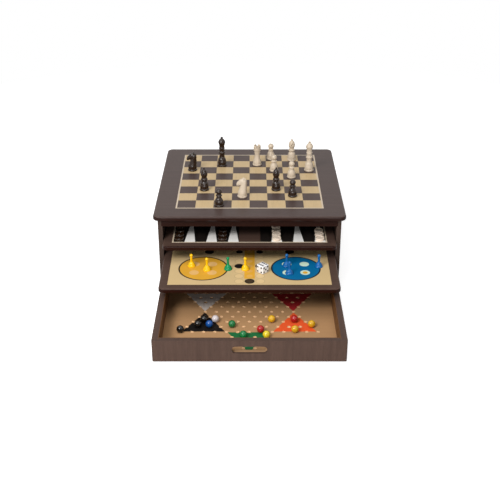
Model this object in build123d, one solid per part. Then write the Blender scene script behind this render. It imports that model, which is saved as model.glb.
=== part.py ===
from build123d import *
import math
import os

# Games compendium box: a case with a chess board for a lid, a backgammon
# tray, a ludo tray and a drawer with a star-halma board for a floor.
# Millimetres, +Z up. The origin is the middle of the case's base, on the
# table; the drawer opens towards -Y. The trays and the drawer are modelled
# as far out as they stand at rest.

# ---------------------------------------------------------------- case
CASE_WIDTH = 335.2
CASE_DEPTH = 328.0
CASE_HEIGHT = 146.3  # table to chess board
SIDE_THICK = 8.4
BACK_THICK = 6.0
BASE_THICK = 3.0
HOUSING = 2.0  # how deep a strip or a rail is let into a side
BASE_SET_BACK = 11.5  # leaves room for the drawer front

TOP_WIDTH = 351.4
TOP_THICK = 9.0
TOP_FRONT_LIP = 9.0
TOP_BACK_LIP = 11.0
TOP_CORNER = 11.0
TOP_ROUND = 3.4  # upper edges
TOP_CHAMFER = 1.6  # lower edges
TONGUE_WIDTH = 3.0
TONGUE_HEIGHT = 4.0
TONGUE_INSET = 15.0  # from the case's front and back

RAIL_HEIGHT = 14.0
RAIL_THICK = 9.0
RUNNER_WIDTH = 8.0  # stands out of the side's inner face
RUNNER_HEIGHT = 6.0
RUNNER_INSET = 12.0  # behind the case's front face

# --------------------------------------------------------------- boards
VENEER = 0.6  # thickness of every inlaid playing surface
GLUE_LINE = 0.05
CHESS_SQUARE = 33.5
CHESS_COUNT = 8
CHESS_LINE = 2.8  # light line around the field
CHESS_MIDDLE = 165.4  # from the case's front face to the field's centre

# ---------------------------------------------------------------- trays
TRAY_WIDTH = 317.4
TRAY_DEPTH = 318.0
TRAY_THICK = 7.6
TRAY_CORNER = 9.0
TRAY_ROUND = 2.4

UPPER_TRAY_TOP = 96.4
UPPER_TRAY_OUT = 29.0
UPPER_FRAME = 16.6
UPPER_LINE = 2.8  # light line inside the frame
POINT_WIDTH = 19.9
POINT_LENGTH = 102.0
POINTS_EACH_SIDE = 6
PRINT = 0.3  # a point stands this far above the black ground
CHECKER_RADIUS = 8.2
CHECKER_THICK = 4.6
CHECKER_RIM = 1.9  # around a hollow middle
CHECKER_HOLLOW = 0.6
CHECKER_PITCH = 16.8
CHECKER_START = 9.2  # first checker's centre from the point's foot

LOWER_TRAY_TOP = 63.8
LOWER_TRAY_OUT = 126.5
LOWER_FRAME = 15.0
DIE_SIZE = 16.0
DIE_ROUND = 1.6
PAWN_HEIGHT = 24.8  # just clears the upper tray as the tray closes

# --------------------------------------------------------------- drawer
DRAWER_DEPTH = 296.0
DRAWER_TOP = 41.0
DRAWER_OUT = 256.0
DRAWER_WALL = 11.0
DRAWER_LIFT = 0.3  # running gap above the base panel
FRONT_FOOT = 2.0  # lower edge of the drawer front above the table
SLOT_WIDTH = 58.3
SLOT_HEIGHT = 13.2
SLOT_MIDDLE = 24.0  # above the table
FRONT_ROUND = 2.5  # upright corners of the drawer front
FLOOR_TOP = 7.0
REBATE = 4.0  # how far the floor is let into the walls
HOLE_PITCH = 19.6  # along a row
HOLE_ROW = 16.5  # from row to row
STAR_MIDDLE = (-0.8, -272.6)
HOLE_RADIUS = 3.2
HOLE_POINT = 0.4  # radius at the bottom
HOLE_DEPTH = 1.6
HOLE_SIDES = 12
MARBLE_RADIUS = 6.5
SEAT_GAP = 0.05  # keeps a marble just clear of its hole's rim

# ----------------------------------------------------- worked-out sizes
FRONT = -CASE_DEPTH / 2  # the case's front face
INNER_WIDTH = CASE_WIDTH - 2 * SIDE_THICK
TOP_UNDERSIDE = CASE_HEIGHT - TOP_THICK
UPPER_FRONT = FRONT - UPPER_TRAY_OUT
LOWER_FRONT = FRONT - LOWER_TRAY_OUT
DRAWER_FRONT = FRONT - DRAWER_OUT

MIN = (Align.MIN, Align.MIN, Align.MIN)
FOOT = (Align.CENTER, Align.CENTER, Align.MIN)

os.makedirs("parts", exist_ok=True)


def save(name, solids):
    """Write one node: a solid, or a list of separate like solids."""
    if isinstance(solids, list):
        solids = Compound(children=solids)
    export_step(solids, f"parts/{name}.step")


def block(x, y, z):
    """A box from its (low, high) limits along each axis."""
    size = [high - low for low, high in (x, y, z)]
    return Pos(x[0], y[0], z[0]) * Box(*size, align=MIN)


def mirrored(solid):
    """The same piece on the other side of the case."""
    return mirror(solid, Plane.YZ)


# ------------------------------------------------------ turned pieces
def turned(*outline):
    """Turn an outline about Z. Each step is the next corner (radius, height),
    or a pair: a point that an arc passes through, and the arc's end."""
    here, edges = (0, 0), []
    for step in outline:
        if isinstance(step[0], tuple):
            edges.append(ThreePointArc(here, *step))
            here = step[1]
        else:
            edges.append(Line(here, step))
            here = step
    if here[0] > 0:
        edges.append(Line(here, (0, here[1])))
    edges.append(Line((0, here[1]), (0, 0)))
    return revolve(Plane.XZ * make_face(edges), Axis.Z)


def ball_head(neck, radius, top):
    """Outline steps for a ball on a neck of a given radius."""
    middle = top - radius
    foot = middle - math.sqrt(radius**2 - neck**2)
    return (neck, foot), ((radius, middle), (0, top))


def chess_foot(radius):
    """The stepped, domed foot that every chess piece stands on."""
    dome = ((0.87 * radius, 8.2), (0.74 * radius, 11.0))
    return (radius, 0), (radius, 3.4), (0.9 * radius, 5.0), dome


def chess_pawn():
    stem = ((4.5, 13.8), (3.4, 18.2))
    collar = (3.4, 19.4), (5.0, 20.5), (5.0, 21.7), (3.2, 23.0)
    return turned(*chess_foot(8.6), stem, *collar, *ball_head(3.2, 4.9, 34.0))


def chess_rook():
    """Four gaps in the top ring, around a cup."""
    stem = ((5.2, 17.0), (4.4, 25.0))
    tower = (5.6, 27.0), (5.2, 28.6), (6.8, 31.6), (6.8, 42.4)
    cup = (4.7, 42.4), (4.7, 37.8)
    body = turned(*chess_foot(9.0), stem, *tower, *cup)
    gap = Pos(0, 0, 38.8) * Box(20, 2.8, 8, align=FOOT)
    return body - gap - Rot(0, 0, 90) * gap


def chess_bishop():
    """A broad mitre with a slanting slot and a small ball."""
    stem = ((4.7, 14.6), (3.9, 25.0))
    collar = (4.9, 26.4), (4.9, 27.4), (3.6, 29.0)
    mitre = ((5.2, 36.4), (2.0, 43.0))
    finial = ball_head(1.3, 1.8, 46.4)
    body = turned(*chess_foot(8.8), stem, *collar, mitre, *finial)
    slot = Pos(2.6, 0, 40.0) * Rot(0, 38, 0) * Box(1.3, 14, 8)
    return body - slot


def chess_king():
    """A flared crown with a cross on its dome."""
    stem = ((4.8, 17.0), (3.9, 25.0))
    collar = (4.1, 31.4), (5.4, 32.8), (5.4, 34.0), (4.0, 36.0)
    crown = (4.0, 39.5), (6.6, 50.6), (6.2, 52.2), ((4.4, 54.6), (1.6, 55.6))
    body = turned(*chess_foot(9.4), stem, *collar, *crown)
    upright = Pos(0, 0, 54.8) * Box(2.2, 2.2, 7.4, align=FOOT)
    arm = Pos(0, 0, 58.0) * Box(5.6, 2.2, 2.2, align=FOOT)
    return body + upright + arm


def chess_knight():
    """A turned foot with a horse's head and neck that face -X."""
    foot = turned((9.0, 0), (9.0, 3.4), (8.2, 5.0), ((8.2, 8.0), (7.2, 11.0)))
    profile = [
        Line((7.2, 10.0), (-7.2, 10.0)),
        ThreePointArc((-7.2, 10.0), (-6.0, 16.4), (-4.0, 21.4)),
        Line((-4.0, 21.4), (-8.8, 21.8)),
        ThreePointArc((-8.8, 21.8), (-11.2, 24.4), (-10.4, 28.0)),
        Line((-10.4, 28.0), (-3.6, 33.8)),
        Line((-3.6, 33.8), (0.6, 36.6)),
        Line((0.6, 36.6), (2.2, 38.6)),
        Line((2.2, 38.6), (4.4, 37.4)),
        ThreePointArc((4.4, 37.4), (8.0, 27.0), (7.2, 10.0)),
    ]
    head = extrude(Plane.XZ * make_face(profile), 6, both=True)
    plan = Polyline((-12, -2.4), (9, -5.0), (9, 5.0), (-12, 2.4), close=True)
    taper = extrude(make_face(plan), 50)
    return foot + (head & taper)


def ludo_pawn():
    foot = (7.3, 0), (7.3, 2.0), (6.5, 3.2)
    stem = ((5.6, 5.6), (4.0, 7.9)), (2.4, 10.0)
    return turned(*foot, *stem, *ball_head(2.1, 3.0, PAWN_HEIGHT))


def checker():
    """A flat man with a rim around a shallow hollow."""
    radius, top = CHECKER_RADIUS, CHECKER_THICK
    inner = radius - CHECKER_RIM
    rim = (radius, 0), (radius, top - 0.5), (radius - 0.5, top), (inner, top)
    return turned(*rim, (inner - CHECKER_HOLLOW, top - CHECKER_HOLLOW))


# --------------------------------------------------------------- case
def make_case():
    """Two sides, a back, a base and a front rail under the chess board."""
    half_in = INNER_WIDTH / 2
    back_face = FRONT + CASE_DEPTH
    side = block(
        (half_in, half_in + SIDE_THICK), (FRONT, back_face), (0, TOP_UNDERSIDE)
    )
    middle = half_in + SIDE_THICK / 2
    side += block(
        (middle - TONGUE_WIDTH / 2, middle + TONGUE_WIDTH / 2),
        (FRONT + TONGUE_INSET, back_face - TONGUE_INSET),
        (TOP_UNDERSIDE, TOP_UNDERSIDE + TONGUE_HEIGHT),
    )
    housed = half_in + HOUSING

    # the back and the base sit in rebates of the sides
    inside_back = back_face - BACK_THICK
    back = block((-housed, housed), (inside_back, back_face), (0, TOP_UNDERSIDE))
    base = block((-housed, housed), (FRONT + BASE_SET_BACK, inside_back), (0, BASE_THICK))
    rail = block(
        (-housed, housed),
        (FRONT, FRONT + RAIL_THICK),
        (TOP_UNDERSIDE - RAIL_HEIGHT, TOP_UNDERSIDE),
    )
    save("back_panel", back)
    save("base_panel", base)
    save("front_rail", rail)

    runners = {}
    for name, tray_top in (("upper", UPPER_TRAY_TOP), ("lower", LOWER_TRAY_TOP)):
        under = tray_top - TRAY_THICK - DRAWER_LIFT
        strip = block(
            (half_in - RUNNER_WIDTH, housed),
            (FRONT + RUNNER_INSET, inside_back),
            (under - RUNNER_HEIGHT, under),
        )
        runners[name] = strip
        save(f"{name}_runners", [strip, mirrored(strip)])

    side -= [back, base, rail, runners["upper"], runners["lower"]]
    save("right_side", side)
    save("left_side", mirrored(side))

    low = FRONT - TOP_FRONT_LIP
    high = back_face + TOP_BACK_LIP
    half = TOP_WIDTH / 2
    top = block((-half, half), (low, high), (TOP_UNDERSIDE, CASE_HEIGHT))
    top = fillet(top.edges().filter_by(Axis.Z), TOP_CORNER)
    top = fillet(top.faces().sort_by(Axis.Z)[-1].edges(), TOP_ROUND)
    top = chamfer(top.faces().sort_by(Axis.Z)[0].edges(), TOP_CHAMFER)
    top -= [side, mirrored(side)]

    # the chess field: one shallow recess that squares and a light line fill
    field = CHESS_COUNT * CHESS_SQUARE
    middle_y = FRONT + CHESS_MIDDLE
    recess = Pos(0, middle_y, CASE_HEIGHT - VENEER) * Box(
        field + 2 * CHESS_LINE, field + 2 * CHESS_LINE, VENEER, align=FOOT
    )
    inside = Pos(0, middle_y, CASE_HEIGHT - VENEER) * Box(field, field, VENEER, align=FOOT)
    save("top_board", top - recess)
    save("chess_border_line", recess - inside)

    square = Box(CHESS_SQUARE - GLUE_LINE, CHESS_SQUARE - GLUE_LINE, VENEER, align=FOOT)
    squares = {0: [], 1: []}
    for column in range(1, CHESS_COUNT + 1):
        for row in range(1, CHESS_COUNT + 1):
            x, y = chess_place(column, row)
            squares[(column + row) % 2].append(Pos(x, y, CASE_HEIGHT - VENEER) * square)
    save("chess_dark_squares", squares[0])
    save("chess_light_squares", squares[1])


def chess_place(column, row):
    """Centre of a square: columns from the left, rows from the front."""
    offset = (CHESS_COUNT + 1) / 2
    x = (column - offset) * CHESS_SQUARE
    return x, FRONT + CHESS_MIDDLE + (row - offset) * CHESS_SQUARE


def make_chess_pieces():
    """Every piece stands on the board, at a column and a row of squares."""
    pieces = {
        "dark_knight": (chess_knight, 1.04, 6.01),
        "dark_king": (chess_king, 2.81, 6.78),
        "dark_bishop_left": (chess_bishop, 1.9, 3.0),
        "dark_pawn_left": (chess_pawn, 2.81, 0.78),
        "dark_bishop_right": (chess_bishop, 6.02, 3.0),
        "dark_pawn_right": (chess_pawn, 6.93, 2.1),
        "light_knight": (chess_knight, 4.09, 2.04),
        "light_rook": (chess_rook, 4.96, 6.91),
        "light_pawn_back": (chess_pawn, 5.82, 7.89),
        "light_pawn_middle": (chess_pawn, 5.97, 5.96),
        "light_bishop": (chess_bishop, 7.11, 7.71),
        "light_pawn_right": (chess_pawn, 6.99, 4.91),
        "light_king": (chess_king, 8.09, 5.99),
    }
    for name, (shape, column, row) in pieces.items():
        x, y = chess_place(column, row)
        save(name, Pos(x, y, CASE_HEIGHT) * shape())


# -------------------------------------------------------------- trays
def tray_board(front, top):
    """A plain board with round front corners and softened upper edges."""
    half = TRAY_WIDTH / 2
    board = block((-half, half), (front, front + TRAY_DEPTH), (top - TRAY_THICK, top))
    corners = board.edges().filter_by(Axis.Z).group_by(Axis.Y)[0]
    board = fillet(corners, TRAY_CORNER)
    upper = board.faces().sort_by(Axis.Z)[-1].edges()
    return fillet(upper, TRAY_ROUND)


def make_backgammon_tray():
    """A framed board: a light line around two black fields and a bar."""
    board = tray_board(UPPER_FRONT, UPPER_TRAY_TOP)
    bottom = UPPER_TRAY_TOP - VENEER
    outer_x = TRAY_WIDTH / 2 - UPPER_FRAME
    outer_y = (UPPER_FRONT + UPPER_FRAME, UPPER_FRONT + TRAY_DEPTH - UPPER_FRAME)
    inner_x = outer_x - UPPER_LINE
    inner_y = (outer_y[0] + UPPER_LINE, outer_y[1] - UPPER_LINE)
    bar_half = inner_x - POINTS_EACH_SIDE * POINT_WIDTH

    outer = block((-outer_x, outer_x), outer_y, (bottom, UPPER_TRAY_TOP))
    inner = block((-inner_x, inner_x), inner_y, (bottom, UPPER_TRAY_TOP))
    field = block((bar_half, inner_x), inner_y, (bottom, UPPER_TRAY_TOP))
    line = outer - inner
    save("backgammon_border_line", line)

    # the bar between the fields is the board's own surface
    save("backgammon_tray_board", board - [line, field, mirrored(field)])
    ground = block((bar_half, inner_x), inner_y, (bottom, UPPER_TRAY_TOP - PRINT))
    save("backgammon_fields", [ground, mirrored(ground)])

    half_foot = POINT_WIDTH / 2 - GLUE_LINE
    outline = Polyline((-half_foot, 0), (half_foot, 0), (0, POINT_LENGTH), close=True)
    point = extrude(make_face(outline), PRINT)
    points = {"light": [], "dark": []}
    for field_left in (-inner_x, bar_half):
        for n in range(POINTS_EACH_SIDE):
            x = field_left + (n + 0.5) * POINT_WIDTH
            near = Pos(x, inner_y[0] + GLUE_LINE, UPPER_TRAY_TOP - PRINT) * point
            far = Pos(x, inner_y[1] - GLUE_LINE, UPPER_TRAY_TOP - PRINT) * (
                Rot(0, 0, 180) * point
            )
            points["light" if n % 2 else "dark"].append(near)
            points["dark" if n % 2 else "light"].append(far)
    for name, solids in points.items():
        save(f"backgammon_{name}_points", solids)

    man = checker()

    def column(number, count, near=True):
        """A row of checkers on a point; points count from the left."""
        index = number - 1
        field_left = -inner_x if index < POINTS_EACH_SIDE else bar_half
        x = field_left + (index % POINTS_EACH_SIDE + 0.5) * POINT_WIDTH
        for n in range(count):
            inset = CHECKER_START + n * CHECKER_PITCH
            y = inner_y[0] + inset if near else inner_y[1] - inset
            yield Pos(x, y, UPPER_TRAY_TOP) * man

    # fifteen of each colour: (point, count) along the near and the far edge
    layout = {
        "dark": (((1, 5), (5, 3)), ((7, 5), (12, 2))),
        "light": (((8, 5), (12, 3)), ((1, 2), (6, 5))),
    }
    for name, (near_points, far_points) in layout.items():
        solids = [c for place in near_points for c in column(*place)]
        solids += [c for place in far_points for c in column(*place, near=False)]
        save(f"{name}_checkers", solids)


def make_ludo_tray():
    """A framed board with a printed sheet, seven pawns and a die."""
    board = tray_board(LOWER_FRONT, LOWER_TRAY_TOP)
    half = TRAY_WIDTH / 2 - LOWER_FRAME
    low = LOWER_FRONT + LOWER_FRAME
    high = LOWER_FRONT + TRAY_DEPTH - LOWER_FRAME
    sheet = block((-half, half), (low, high), (LOWER_TRAY_TOP - VENEER, LOWER_TRAY_TOP))
    save("ludo_tray_board", board - sheet)
    save("ludo_playing_sheet", sheet)

    def standing(*places):
        return [Pos(x, FRONT - out, LOWER_TRAY_TOP) * ludo_pawn() for x, out in places]

    # places are (x, distance in front of the case)
    save("yellow_pawns", standing((-105.2, 42.5), (-76.6, 57.3), (-7.9, 55.0)))
    save("green_pawn", standing((-38.9, 54.6)))
    save("blue_pawns", standing((67.1, 42.5), (71.0, 70.6), (125.2, 44.4)))

    cube = fillet(Box(DIE_SIZE, DIE_SIZE, DIE_SIZE, align=FOOT).edges(), DIE_ROUND)
    save("die", Pos(23.3, FRONT - 64.8, LOWER_TRAY_TOP) * (Rot(0, 0, 45) * cube))


# ------------------------------------------------------------- drawer
def star_holes():
    """Places of the 121 holes, as (column step, row), about the star's middle.
    A column step is half a pitch, and rows count from the front."""
    counts = {0: 9, 1: 10, 2: 11, 3: 12, 4: 13, 5: 4, 6: 3, 7: 2, 8: 1}
    for row in range(-8, 9):
        count = counts[abs(row)]
        for step in range(1 - count, count, 2):
            yield step, row


def star_place(step, row):
    return STAR_MIDDLE[0] + step * HOLE_PITCH / 2, STAR_MIDDLE[1] + row * HOLE_ROW


def make_drawer():
    """Four walls around a floor, let in from below, drilled with a star of holes."""
    half = TRAY_WIDTH / 2
    foot = BASE_THICK + DRAWER_LIFT
    back = DRAWER_FRONT + DRAWER_DEPTH
    inside = half - DRAWER_WALL
    tongue = DRAWER_WALL / 2
    wall_z = (foot, DRAWER_TOP)

    floor = block(
        (-inside - REBATE, inside + REBATE),
        (DRAWER_FRONT + DRAWER_WALL - REBATE, back - DRAWER_WALL + REBATE),
        (foot, FLOOR_TOP),
    )

    # the sides end in half-lapped rebates of the front
    wall = block((inside, half), (DRAWER_FRONT + tongue, back), wall_z) - floor
    front_y = (DRAWER_FRONT, DRAWER_FRONT + DRAWER_WALL)
    front = block((-half, half), front_y, (FRONT_FOOT, DRAWER_TOP))
    front = fillet(front.edges().filter_by(Axis.Z).group_by(Axis.Y)[0], FRONT_ROUND)
    slot = extrude(Plane.XZ * SlotOverall(SLOT_WIDTH, SLOT_HEIGHT), DRAWER_WALL, both=True)
    slot = Pos(0, DRAWER_FRONT + DRAWER_WALL / 2, SLOT_MIDDLE) * slot
    save("drawer_front", front - [wall, mirrored(wall), floor, slot])
    save("drawer_right", wall)
    save("drawer_left", mirrored(wall))

    rear = block((-inside, inside), (back - DRAWER_WALL, back), wall_z) - floor
    save("drawer_back", rear)

    # a shallow many-sided dimple drilled to a point
    pit = loft(
        [
            Plane.XY * RegularPolygon(HOLE_RADIUS, HOLE_SIDES),
            Plane.XY.offset(-HOLE_DEPTH) * RegularPolygon(HOLE_POINT, HOLE_SIDES),
        ]
    )
    pits = [Pos(*star_place(*hole), FLOOR_TOP) * pit for hole in star_holes()]
    save("star_board", floor - pits)

    rim = HOLE_RADIUS * math.cos(math.pi / HOLE_SIDES)  # to the middle of a rim edge
    rise = math.sqrt(MARBLE_RADIUS**2 - rim**2) + SEAT_GAP
    marbles = {
        "black_marbles": [(-12, -4), (-9, -3), (-8, -2)],
        "blue_marble": [(-7, -3)],
        "white_marble": [(-6, -2)],
        "green_marbles": [(-3, -3), (-1, -5)],
        "yellow_marbles": [(3, -5), (4, -2), (8, -4), (11, -3)],
        "red_marbles": [(2, -4), (8, -2)],
    }
    ball = Sphere(MARBLE_RADIUS)
    for name, holes in marbles.items():
        save(name, [Pos(*star_place(*hole), FLOOR_TOP + rise) * ball for hole in holes])


make_case()
make_chess_pieces()
make_backgammon_tray()
make_ludo_tray()
make_drawer()
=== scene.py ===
"""Games compendium box: foil and veneer finishes, printed boards, turned and
moulded game pieces, and the plain studio they stand in."""

import math

import bmesh
import bpy
import numpy as np
from bpy.props import FloatProperty, FloatVectorProperty, IntProperty, PointerProperty
from bpy.types import Operator, Panel, PropertyGroup
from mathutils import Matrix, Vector


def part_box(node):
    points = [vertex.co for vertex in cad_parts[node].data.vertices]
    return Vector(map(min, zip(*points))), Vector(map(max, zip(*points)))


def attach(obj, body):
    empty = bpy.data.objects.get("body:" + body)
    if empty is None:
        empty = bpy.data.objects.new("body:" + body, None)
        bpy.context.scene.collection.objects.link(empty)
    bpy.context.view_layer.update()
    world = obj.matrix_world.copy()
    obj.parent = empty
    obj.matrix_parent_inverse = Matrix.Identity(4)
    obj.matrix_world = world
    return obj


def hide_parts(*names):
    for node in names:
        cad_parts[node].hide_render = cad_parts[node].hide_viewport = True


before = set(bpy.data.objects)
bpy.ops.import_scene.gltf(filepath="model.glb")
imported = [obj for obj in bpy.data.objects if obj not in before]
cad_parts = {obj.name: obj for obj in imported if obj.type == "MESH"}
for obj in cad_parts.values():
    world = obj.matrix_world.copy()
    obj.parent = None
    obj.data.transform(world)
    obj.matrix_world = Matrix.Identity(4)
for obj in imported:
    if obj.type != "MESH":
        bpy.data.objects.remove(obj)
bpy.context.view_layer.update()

bl_info = {
    "name": "Games Compendium Box",
    "version": (1, 0, 0),
    "blender": (4, 5, 0),
    "location": "View3D > Sidebar > Games Box",
    "description": "Finishes, printed boards and game pieces of a games compendium box",
    "category": "Object",
}

MM = 0.001  # outlines and places below are in millimetres, meshes in metres

# ------------------------------------------------- layout of the loose pieces
CASE_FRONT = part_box("left_side")[0].y / MM

CHESS_PIECES = {
    "king": ("dark_king", "light_king"),
    "bishop": ("dark_bishop_left", "dark_bishop_right", "light_bishop"),
    "knight": ("dark_knight", "light_knight"),
    "rook": ("light_rook",),
    "pawn": (
        "dark_pawn_left", "dark_pawn_right",
        "light_pawn_back", "light_pawn_middle", "light_pawn_right",
    ),
}

# points count from the left; each entry is (point, checkers on it)
POINTS_EACH_SIDE = 6
CHECKER_LAYOUT = {
    "dark": {"near": ((1, 5), (5, 3)), "far": ((7, 5), (12, 2))},
    "light": {"near": ((8, 5), (12, 3)), "far": ((1, 2), (6, 5))},
}
CHECKER_PITCH = 16.8
CHECKER_START = 9.2  # first checker's middle from the foot of its point
POINT_WIDTH = 19.9

# each pawn's (x, distance in front of the case)
PAWNS = {
    "yellow": ("yellow_pawns", ((-105.2, 42.5), (-76.6, 57.3), (-7.9, 55.0))),
    "green": ("green_pawn", ((-38.9, 54.6),)),
    "blue": ("blue_pawns", ((67.1, 42.5), (71.0, 70.6), (125.2, 44.4))),
}

# each marble's hole: half pitches from the middle, rows from the middle
MARBLES = {
    "black": ("black_marbles", ((-12, -4), (-9, -3), (-8, -2))),
    "blue": ("blue_marble", ((-7, -3),)),
    "white": ("white_marble", ((-6, -2),)),
    "green": ("green_marbles", ((-3, -3), (-1, -5))),
    "yellow": ("yellow_marbles", ((3, -5), (4, -2), (8, -4), (11, -3))),
    "red": ("red_marbles", ((2, -4), (8, -2))),
}
STAR_COUNTS = {0: 9, 1: 10, 2: 11, 3: 12, 4: 13, 5: 4, 6: 3, 7: 2, 8: 1}  # holes in a row
HOLE_PITCH = 19.6  # along a row
HOLE_ROW = 16.5  # from row to row
STAR_MIDDLE = (-0.8, -272.6)


# ------------------------------------------------------------------- settings
def linear(code):
    """The linear colour of a hex code as it is seen on a screen."""
    seen = np.array([int(code[i : i + 2], 16) for i in (0, 2, 4)]) / 255
    return tuple(np.where(seen <= 0.04045, seen / 12.92, ((seen + 0.055) / 1.055) ** 2.4))


def colour(name, code, description):
    return FloatVectorProperty(
        name=name, description=description, default=linear(code),
        subtype="COLOR", size=3, min=0, max=1,
    )


def length(name, metres, description):
    return FloatProperty(
        name=name, description=description, default=metres, unit="LENGTH", min=0, precision=4
    )


def power(name, watts, description):
    return FloatProperty(name=name, description=description, default=watts, unit="POWER", min=0)


class WoodSettings(PropertyGroup):
    """Foils, veneers and boards."""

    lid: colour("Lid foil", "493b37", "Grey-brown foil on the lid and the dark squares")
    tray: colour("Tray foil", "4e3c34", "Red-brown foil on the trays and the drawer")
    side: colour("Side foil", "43352e", "Red-brown foil on the sides of the case")
    # edge is also laid over the whole front rail, where its darkness is painted shade from the lid's
    # overhang
    edge: colour("Edge lacquer", "250f08", "Dark lacquer on the edges of the lid and trays")
    inlay: colour("Light veneer", "c4aa80", "Light squares of the chess board")
    line: colour("Light line", "cbbaa3", "Thin line around the playing fields")
    floor: colour("Drawer floor", "b08860", "Board that the star is drilled in")
    pit: colour("Drilled wood", "d2aa80", "Bare wood inside the drilled holes")
    inner: colour("Inner wood", "664426", "Bare inner faces of the drawer")
    cut: colour("Cut wood", "b08c68", "Bare wood inside the finger slot")
    back: colour("Hardboard", "644835", "Back and base of the case")
    fibre: length("Fibre width", 0.0007, "Width of one fibre of the printed grain")
    band: length("Band width", 0.0065, "Width of the slower light and dark bands")


class PrintSettings(PropertyGroup):
    """Printing inks of the three boards."""

    paper: colour("Paper", "cbb081", "Ground of the ludo sheet")
    black: colour("Black", "15110f", "Backgammon ground and ludo spots")
    white: colour("White", "f2efea", "Light backgammon points")
    yellow: colour("Yellow", "d69f34", "Ludo home and home run")
    blue: colour("Blue", "056392", "Ludo home and home run")
    mint: colour("Pale green", "c4dcc6", "Spots for the blue men")
    red: colour("Red", "c83420", "Ludo home and star point")
    green: colour("Green", "1f6438", "Ludo home and star point")
    maroon: colour("Maroon", "a4282a", "Star point")
    orange: colour("Orange red", "e2582c", "Star point")
    silver: colour("Silver", "cbbeb4", "Star point")


class PlasticSettings(PropertyGroup):
    """Moulded pieces."""

    dark: colour("Dark men", "26160b", "Dark chess pieces and checkers")
    ivory: colour("Ivory men", "c8b8a3", "Light chess pieces")
    bone: colour("Bone men", "e6d4c0", "Light checkers")
    yellow: colour("Yellow pawns", "e8b606", "Ludo pawns")
    green: colour("Green pawns", "04824e", "Ludo pawn")
    blue: colour("Blue pawns", "0a5a98", "Ludo pawns")
    die: colour("Die", "e8e6e6", "White plastic of the die")
    pip: colour("Pips", "0c0a09", "Paint in the die's pips")

    segments: IntProperty(
        name="Segments", description="Steps round a turned piece", default=64, min=12, max=128
    )


class MarbleSettings(PropertyGroup):
    """Solid-colour glass of the marbles."""

    black: colour("Black", "120e0b", "Black marbles")
    blue: colour("Blue", "0c4f9c", "Blue marble")
    white: colour("White", "d2c8c8", "White marble")
    green: colour("Green", "0a7038", "Green marbles")
    yellow: colour("Amber", "deac1c", "Three of the yellow marbles")
    lemon: colour("Lemon", "dcc51e", "The front yellow marble")
    red: colour("Red", "ac1c1a", "Red marbles")


class StageSettings(PropertyGroup):
    """Camera and light."""

    lens: FloatProperty(name="Lens", description="Focal length", default=63.25, unit="CAMERA")
    camera_back: length("Camera distance", 1.6109, "From the middle of the box, level")
    camera_up: length("Camera height", 0.8171, "Above the table")
    camera_side: length("Camera side step", 0.00075, "To the right of the middle")
    tilt: FloatProperty(
        name="Camera tilt", description="How far the camera looks down",
        default=math.radians(27.16), subtype="ANGLE",
    )
    overhead: power("Overhead power", 15.0, "Large softbox over the box")
    key: power("Key power", 33.0, "Softbox in front on the left")
    low: power("Low power", 16.0, "Strip softbox low in front")
    sky: FloatProperty(name="Sky level", description="Light from all round", default=0.2)
    glow: FloatProperty(
        name="Floor glow", description="Whitens the floor for the camera alone", default=0.68
    )


# ------------------------------------------------------------------ materials
DISC_SOFT = 0.0003  # half the width over which a printed disc's rim fades
EDGE_FADE = (-0.0005, 0.0002)  # where foil fades into lacquer, about the edge's height
FRONT_FADE = 0.0012  # the same, in front of an edge's place
LINING_FADE = 0.0006  # from foil to the bare wood behind it
SKIN_SPECKS = 900  # ripples in a metre of moulded skin
PIP_ATTRIBUTE = "pip"
LEMON_LINE = -0.345  # marbles nearer the drawer's front than this are lemon
LEMON_FADE = 0.001


class Nodes:
    """The node tree of a material or a sky, and short ways to add to it."""

    def __init__(self, tree):
        self.tree = tree

    def feed(self, socket, value):
        """Link another node's output, or set a number or a colour."""
        if isinstance(value, bpy.types.NodeSocket):
            self.tree.links.new(value, socket)
        elif isinstance(value, (int, float)):
            socket.default_value = value
        else:
            value = tuple(value)
            wanted = len(socket.default_value)
            socket.default_value = value + (1.0,) * (wanted - len(value))

    def node(self, kind, output=0, settings=(), **inputs):
        """Add a node; inputs are named as on the node, or by their number."""
        made = self.tree.nodes.new("ShaderNode" + kind)
        for key, value in dict(settings).items():
            setattr(made, key, value)
        for key, value in inputs.items():
            socket = made.inputs[int(key[1:])] if key[0] == "_" else made.inputs[key]
            self.feed(socket, value)
        return made.outputs[output]

    def math(self, operation, *values):
        inputs = {f"_{n}": value for n, value in enumerate(values)}
        return self.node("Math", settings={"operation": operation}, **inputs)

    def ramp(self, value, low, high, to_low=0.0, to_high=1.0):
        """Straight from to_low at low to to_high at high, and level outside."""
        return self.node(
            "MapRange", _0=value, _1=float(low), _2=float(high), _3=float(to_low), _4=float(to_high)
        )


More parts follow.
